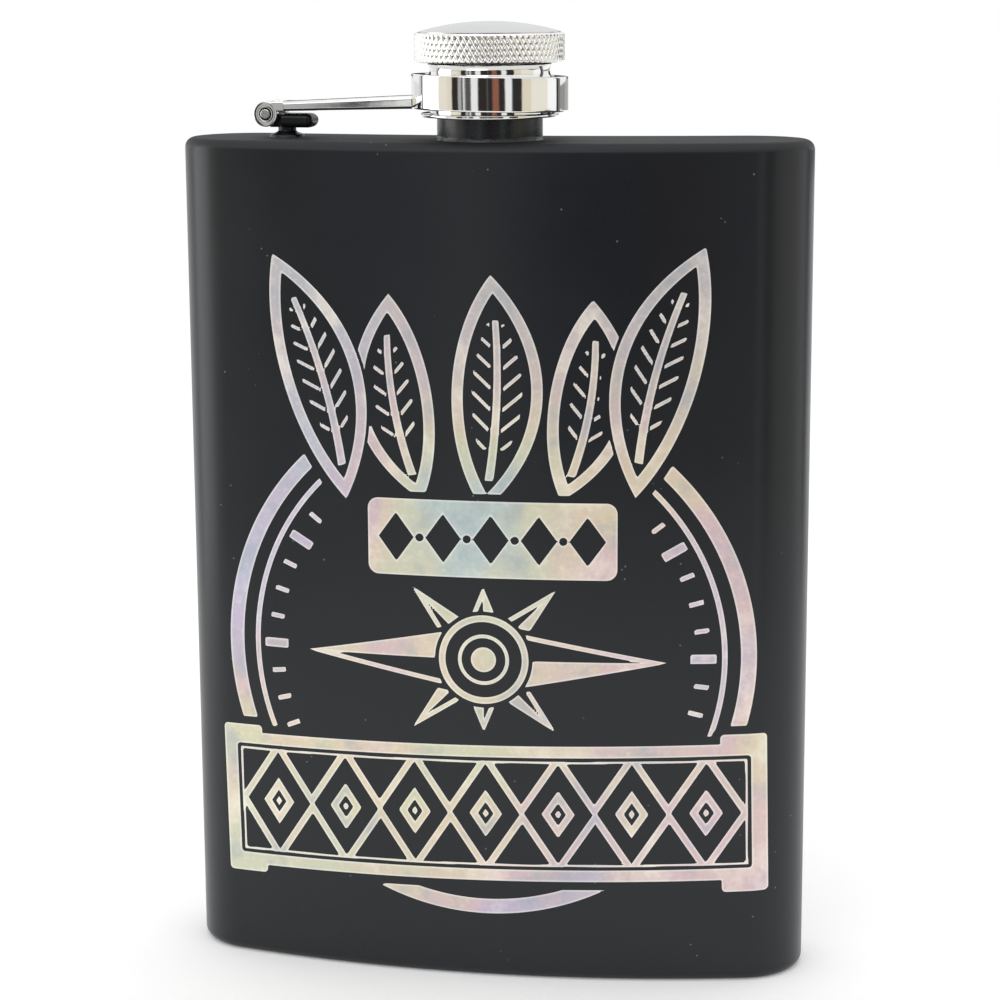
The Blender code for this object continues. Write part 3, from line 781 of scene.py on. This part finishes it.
ornament = {
    "centreX": 0.5 * mm,
    "cell": 0.32 * mm,
    "proud": 0.022 * mm,            # how far its surface stands off the coat
    "sunk": 0.03 * mm,              # how far its back lies in the coat
    # all below in millimetres and degrees, x from the centre and height from the base
    "leaves": [(-25.5, 92, 38, 12.5, 17, 2.0), (-12.5, 89, 31, 12.0, 9, -2.0),
               (1.5, 90, 35, 13.5, -2, 1.5), (15.0, 89, 30, 12.0, -9, 2.0),
               (26.5, 93.5, 38, 12.5, -15, -2.0)],      # x, height, length, width, tilt, bend
    "leafStroke": 1.672,
    "veinPitch": 3.1,
    "ringHeight": 50.5,
    "rings": [(39.2, 2.3), (35.7, 0.8)],                # radius, width
    "tickRadius": 32.6,
    "plate": (1.2, 68.2),
    "platePitch": 7.2,
    "rose": [(45, 15.5, 3.6), (135, 15.5, 3.6), (225, 15.5, 3.6), (315, 15.5, 3.6),
             (90, 27.5, 5.2), (270, 27.5, 5.2), (0, 11.2, 4.6),
             (180, 11.2, 4.6)],                         # direction, length, half width
    "banner": (0.2, 26.0),
    "bannerTilt": 1.2,
    "bannerPitch": 11.0,
}


# A generic ornament: leaves over a ring with a compass rose, and a banner of diamonds below. Each
# shape is a signed distance on a grid of x and height (negative inside); shapes are joined by the
# smaller distance and cut by the larger. The zero line is traced through each half cell, and the
# points are laid on the front of the body and given a back and a rim.
def makeOrnament():
    o = ornament
    x = np.arange(-43.2 * mm, 44.0 * mm, o["cell"]) / mm
    z = np.arange(9.0 * mm, 115 * mm, o["cell"]) / mm
    x, z = np.meshgrid(x - o["centreX"] / mm, z, indexing="ij")

    # Across and along an axis through (cx, cz) that leans to the left by the angle.
    def turn(cx, cz, degrees):
        a = math.radians(degrees)
        dx, dz = x - cx, z - cz
        return dx * math.cos(a) + dz * math.sin(a), -dx * math.sin(a) + dz * math.cos(a)

    def ball(cx, cz, r):
        return np.hypot(x - cx, z - cz) - r

    def hoop(cx, cz, r, w):
        return np.abs(ball(cx, cz, r)) - w / 2

    def box(cx, cz, w, h, degrees=0.0, soft=0.0):
        a, b = turn(cx, cz, degrees)
        a, b = np.abs(a) - w / 2 + soft, np.abs(b) - h / 2 + soft
        return np.hypot(np.maximum(a, 0), np.maximum(b, 0)) + np.minimum(both(a, b), 0) - soft

    def diamond(cx, cz, w, h):
        reach = np.abs(x - cx) / w * 2 + np.abs(z - cz) / h * 2 - 1
        return reach * w * h / 2 / math.hypot(w, h)

    # Two equal circles that overlap in a lens.
    def lens(a, b, length, width):
        r = (width ** 2 + length ** 2) / (4 * width)
        off = r - width / 2
        return both(np.hypot(a - off, b) - r, np.hypot(a + off, b) - r)

    def outline(d, w):
        return np.abs(d + w / 2) - w / 2

    def either(*shapes):
        return np.minimum.reduce(shapes)

    def both(*shapes):
        return np.maximum.reduce(shapes)

    # What is left of a shape outside the others and a gap round them.
    def outside(shape, *others, gap=0.0):
        return both(shape, *[gap - other for other in others])

    nothing = np.full_like(x, 99.0)
    cz = o["ringHeight"]
    # the leaves' own coordinates, bent sideways by a parabola
    axes, leaves = [], []
    for lx, lz, length, width, tilt, bend in o["leaves"]:
        a, b = turn(lx, lz, tilt)
        a = a + bend * ((b / length * 2) ** 2 - 0.5)
        axes.append((a, b, length))
        leaves.append(lens(a, b, length, width))
    fan = either(*leaves)
    art = outside(either(*[hoop(0, cz, *ring) for ring in o["rings"]]), fan, gap=1.3)
    art = outside(art, box(0, cz + 36, 50, 18))
    for index, (leaf, (a, b, length)) in enumerate(zip(leaves, axes)):
        behind = index % 2              # the second and the fourth lie behind their neighbours
        over = either(leaves[index - 1], leaves[index + 1]) if behind else nothing
        art = either(art, outside(outline(leaf, o["leafStroke"]), over, gap=0.5))
        vein = both(np.abs(a) - 0.42 - 0.25 * (0.5 - b / length),
                    np.abs(b + 1) - length * 0.34, leaf + 1.0)
        pitch = o["veinPitch"]
        side = np.abs(((b - np.abs(a) * 0.9) / pitch + 0.5) % 1 - 0.5) * pitch - 0.34
        side = both(side, leaf + 3.0, np.abs(b - 1.2) - length * 0.27, 0.9 - np.abs(a))
        art = either(art, outside(either(vein, side), over, gap=1.4))
    # a small plate under the leaves
    px, pz = o["plate"]
    plate = box(px, pz, 37.5, 11.6, 0, 1.6)
    art = either(outside(art, plate, gap=1.1), plate)
    for k in range(5):
        art = outside(art, diamond(px + o["platePitch"] * (k - 2), pz, 5.4, 7.4))
    for k in range(4):
        art = outside(art, ball(px + o["platePitch"] * (k - 1.5), pz, 0.62))
    # compass rose in the ring: long points to the sides, short ones up and down
    rose, heart = nothing, cz - 0.6
    for degrees, length, half in o["rose"]:
        a, b = turn(0, heart, degrees)
        point = (np.abs(a) / half + b / length - 1) * half * length / math.hypot(half, length)
        point = both(point, -b)
        rose = either(outside(rose, point, gap=0.75), both(point, -a), outline(point, 0.7))
    rose = outside(rose, ball(0, heart, 7.4))
    rose = either(rose, hoop(0, heart, 6.3, 1.0), hoop(0, heart, 3.6, 0.55), ball(0, heart, 1.9))
    rose = outside(rose, plate, gap=1.1)
    # graduations, each fourth one longer and wider
    ticks = nothing
    for k in range(48):
        a, b = turn(0, cz, 7.5 * k)
        halfWidth, halfLength = (0.36, 1.1) if k % 4 else (0.7, 1.9)
        tick = both(np.abs(a) - halfWidth, np.abs(b - o["tickRadius"]) - halfLength, -b)
        ticks = either(ticks, tick)
    ticks = outside(outside(ticks, fan, plate, gap=1.0), box(0, cz + 33, 58, 24))
    art = either(art, rose, ticks)
    # the banner: stepped ends, with bars and diamonds left dark
    bx, bz = o["banner"]
    tilt = o["bannerTilt"]
    banner = either(box(bx, bz, 83.0, 21.2, tilt, 0.7), box(-38.4, 25.2, 6.4, 23.6, tilt, 0.6),
                    box(38.8, 26.6, 6.8, 24.6, tilt, 0.6))
    art = either(outside(art, banner, gap=1.3), banner)
    dark = outline(box(bx, bz, 79.4, 17.6, tilt, 0.5), 0.55)
    field = box(bx, bz, 77.6, 15.8, tilt, 0.3)
    for k in range(7):
        gx = bx + o["bannerPitch"] * (k - 3)
        gz = bz + gx * math.tan(math.radians(tilt))
        gem = diamond(gx, gz, 10.4, 15.6)
        dark = either(dark, outside(gem, diamond(gx, gz, 5.0, 7.4)),
                      outline(diamond(gx, gz, 2.4, 3.6), 0.6))
        field = outside(field, gem, gap=1.05)
    art = outside(art, dark, field)

    points, faces, edge = traced(x + o["centreX"] / mm, z, art)
    across, high = points.T * mm
    y, slope = frontSurface(across)
    front = np.column_stack([across, y - o["proud"], high])
    count = len(front)
    sides = np.concatenate([faces[:, [0, 1]], faces[:, [1, 2]], faces[:, [2, 0]]])
    there, back = sides @ (count, 1), sides @ (1, count)        # one number for each directed side
    i, j = sides[~np.isin(there, back)].T                       # the rim
    walls = [np.stack([j, i, i + count], -1), np.stack([j, i + count, j + count], -1)]
    obj = meshFrom("laserOrnament", np.vstack([front, front + (0, o["proud"] + o["sunk"], 0)]),
                   np.vstack([faces, faces[:, ::-1] + count, *walls]), laser, "flask", (),
                   "black_coat", sharp=0, solid=False)
    normal = np.column_stack([slope, -np.sqrt(1 - slope ** 2), np.zeros(count)])
    normals = np.vstack([normal, -normal]).astype(np.float32)
    obj.data.normals_split_custom_set_from_vertices(normals)
    depth = obj.data.attributes.new("edgeDistance", "FLOAT", "POINT")
    depth.data.foreach_set("value", np.tile(edge, 2).astype(np.float32))
    return obj


# Turns a grid of signed distances into triangles that cover its negative part. Each cell is split
# into two triangles; where the sign changes along a side, a point is placed in proportion to the
# two distances. Gives the points, the faces and how far each point lies from the edge.
def traced(x, z, d):
    index = np.arange(x.size).reshape(x.shape)
    a, b, c, e = index[:-1, :-1], index[1:, :-1], index[1:, 1:], index[:-1, 1:]
    tri = np.concatenate([np.stack(half, -1).reshape(-1, 3) for half in ((a, b, c), (a, c, e))])
    flat, size = d.ravel(), d.size
    least = 1e-4                        # no distance is nearer to zero than this
    flat = np.where(np.abs(flat) < least, -least, flat)
    inside = flat[tri] < 0
    count = inside.sum(1)

    # Key of the point on side i-j where the distance is zero.
    def cut(i, j):
        return size + np.minimum(i, j) * size + np.maximum(i, j)

    made = [tri[count == 3]]
    for wanted in (1, 2):
        part = tri[count == wanted]
        lone = (inside[count == wanted] == (wanted == 1)).argmax(1)
        p, q, r = (part[np.arange(len(part)), (lone + k) % 3] for k in range(3))
        if wanted == 1:
            made.append(np.stack([p, cut(p, q), cut(p, r)], -1))
        else:
            made.append(np.stack([cut(p, q), q, r], -1))
            made.append(np.stack([cut(p, q), r, cut(p, r)], -1))
    keys, faces = np.unique(np.concatenate(made), return_inverse=True)
    onGrid = keys < size
    place = np.stack([x.ravel(), z.ravel()], -1)
    points = np.empty((len(keys), 2))
    points[onGrid] = place[keys[onGrid]]
    edge = np.zeros(len(keys))
    edge[onGrid] = -flat[keys[onGrid]]
    i, j = np.divmod(keys[~onGrid] - size, size)
    t = (flat[i] / (flat[i] - flat[j]))[:, None]
    points[~onGrid] = place[i] * (1 - t) + place[j] * t
    return points, faces.reshape(-1, 3), edge


makeOrnament()
print("ornament made")


studio = {
    "floorRadius": 1.6,
    "world": 1.0,
    "cameraPlace": (73.0 * mm, -391.5 * mm, 151.2 * mm),
    "yaw": math.radians(10.39),
    "pitch": math.radians(11.23),
    "roll": math.radians(-0.30),
    "lens": 96.5,
}
dark, white, copper = (0.034, 0.028, 0.026), grey(0.93), (0.30, 0.12, 0.08)
curtain = {
    "radius": 0.30,
    "low": 0.002,
    "high": 0.26,
    "softness": 2.0,            # degrees
    # angles in degrees from the camera's side, towards the right, and the tone up to each
    "strips": [(-118, grey(0.70)), (-113, grey(0.16)), (-80, grey(2.6)), (-64, (0.90, 0.85, 0.74)),
               (-56, (0.84, 0.77, 0.62)), (-46, dark), (-41, grey(0.46)), (-38.5, grey(0.07)),
               (-36.5, white), (-34.5, grey(0.34)), (-27, grey(0.10)), (-17, white), (-4, dark),
               (-2.5, grey(0.12)), (4, grey(0.03)), (13, copper), (22, dark), (32, white),
               (47, grey(0.03)), (62, (0.82, 0.75, 0.60)), (92, (0.92, 0.88, 0.77)),
               (113, grey(1.1)), (118, dark), (124, grey(0.22))],
    "backLow": 0.130,
    "backHigh": 0.170,
    "sideLow": 0.102,
    "sideCloths": [("rightNear", 124, 142, 0.30), ("rightMiddle", 142, 160, 0.42),
                   ("rightFar", 160, 180, 0.55), ("leftNear", -142, -124, 0.80),
                   ("leftFar", -180, -142, 0.90)],
}


def plainFinish(name, colour, glow, strength):
    finish = Finish(name, Roughness=0.9, Emission_Strength=strength)
    finish.shader.inputs["Base Color"].default_value = (*colour, 1)
    finish.shader.inputs["Emission Color"].default_value = (*glow, 1)
    return finish.material


def makeFloor():
    points = turned([(0.0001, 0), (0.4, 0), (studio["floorRadius"], 0)], 96)[::-1]
    finish = plainFinish("paleFloor", grey(0.90), grey(0.90), 0.12)
    floor = meshFrom("floor", points, gridQuads(*points.shape[:2]), finish, None)
    floor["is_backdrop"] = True


# A part of a drum about the flask, given by angles and heights, that is seen only in reflections.
def drumCloth(name, angle, heights, finish):
    turn = np.radians(angle) + studio["yaw"] - math.pi / 2
    points = ringRows(curtain["radius"], heights, turn)
    quads = gridQuads(*points.shape[:2], wrapColumns=False)
    cloth = meshFrom(name, points, quads, finish, None)
    cloth.visible_camera = cloth.visible_shadow = cloth.visible_diffuse = False
    cloth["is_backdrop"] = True
    return cloth


# A round curtain about the flask. Its glow at each angle is the tone of the strip there, and
# neighbouring tones run into each other over the softness.
def makeCurtain():
    s = curtain
    end, fineStep = s["strips"][-1][0], 0.1
    stops = np.array([stop for stop, tone in s["strips"]])
    tones = np.array([tone for stop, tone in s["strips"]])
    fine = np.arange(-end, end + 0.01, fineStep)
    each = tones[np.minimum(np.searchsorted(stops, fine), len(stops) - 1)]
    width = int(s["softness"] / fineStep)
    kernel = np.ones(width) / width
    padded = np.pad(each, ((width, width), (0, 0)), mode="edge")
    angle = np.arange(-end, end + 0.01, 0.5)
    height = np.linspace(s["low"], s["high"], 5)
    fade = np.interp(height, [s["low"], s["high"] * 0.5, s["high"]], [0.92, 1.0, 0.85])
    colour = np.ones((len(height), len(angle), 4), np.float32)
    for c in range(3):
        soft = np.convolve(padded[:, c], kernel, "same")[width:-width]
        colour[..., c] = np.interp(angle, fine, soft) * fade[:, None]
    finish = Finish("curtainGlow", Roughness=1.0, Specular_IOR_Level=0.0, Emission_Strength=1.0)
    finish.shader.inputs["Base Color"].default_value = (*grey(0.0), 1)
    finish.feed(Emission_Color=finish.attribute("glow", "Color"))
    cloth = drumCloth("curtain", angle, height, finish.material)
    layer = cloth.data.color_attributes.new("glow", "FLOAT_COLOR", "POINT")
    layer.data.foreach_set("color", colour.ravel())


# The black cloth behind the flask keeps the shoulder dark. The grey ones are the tones at the ends
# of the collar.
def makeBackCloths():
    s = curtain
    cloths = [("backCloth", 150, 210, 0.01, s["backLow"], s["backHigh"])]
    cloths += [(*cloth, s["sideLow"], s["backLow"]) for cloth in s["sideCloths"]]
    for name, first, last, tone, low, high in cloths:
        finish = plainFinish(name + "Glow", grey(0.0), grey(1.0), tone)
        drumCloth(name, np.linspace(first, last, 33), (low, high), finish)


def makeLight(name, place, target, width, height, power):
    lamp = bpy.data.lights.new(name, "AREA")
    lamp.energy, lamp.shape, lamp.size, lamp.size_y = power, "RECTANGLE", width, height
    obj = bpy.data.objects.new(name, lamp)
    obj.location = place
    obj.rotation_euler = (Vector(target) - Vector(place)).to_track_quat("-Z", "Y").to_euler()
    obj.visible_camera = False
    bpy.context.scene.collection.objects.link(obj)


def makeCamera():
    s = studio
    lens = bpy.data.cameras.new("camera")
    lens.lens, lens.sensor_width, lens.clip_start, lens.clip_end = s["lens"], 36.0, 0.01, 50
    camera = bpy.data.objects.new("camera", lens)
    yaw, pitch, roll = s["yaw"], s["pitch"], s["roll"]
    right = Vector((math.cos(yaw), math.sin(yaw), 0))
    back = (math.sin(yaw) * math.cos(pitch), -math.cos(yaw) * math.cos(pitch), math.sin(pitch))
    back = Vector(back)
    up = right.cross(-back)
    right, up = (right * math.cos(roll) + up * math.sin(roll),
                 up * math.cos(roll) - right * math.sin(roll))
    turnTo = Matrix((right, up, back)).transposed().to_4x4()
    camera.matrix_world = Matrix.Translation(s["cameraPlace"]) @ turnTo
    bpy.context.scene.collection.objects.link(camera)
    bpy.context.scene.camera = camera


def makeWorld():
    world = bpy.data.worlds.new("studio")
    world.use_nodes = True
    bpy.context.scene.world = world
    background = world.node_tree.nodes["Background"]
    background.inputs["Color"].default_value = (*grey(1.0), 1)
    background.inputs["Strength"].default_value = studio["world"]


makeFloor()
makeCurtain()
makeBackCloths()
makeLight("topLight", (0.0, 0.05, 0.95), (0, 0, 0.05), 0.7, 0.7, 1.2)
makeLight("frontLight", (-0.25, -0.95, 0.75), (0, 0, 0.07), 0.8, 0.4, 1.2)
makeWorld()
makeCamera()
bpy.context.scene.view_settings.view_transform = "Standard"
print("studio made")

box = lambda pair: [list(map(float, corner)) for corner in pair]
{"cad": box(cadBox), "visual": box(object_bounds())}
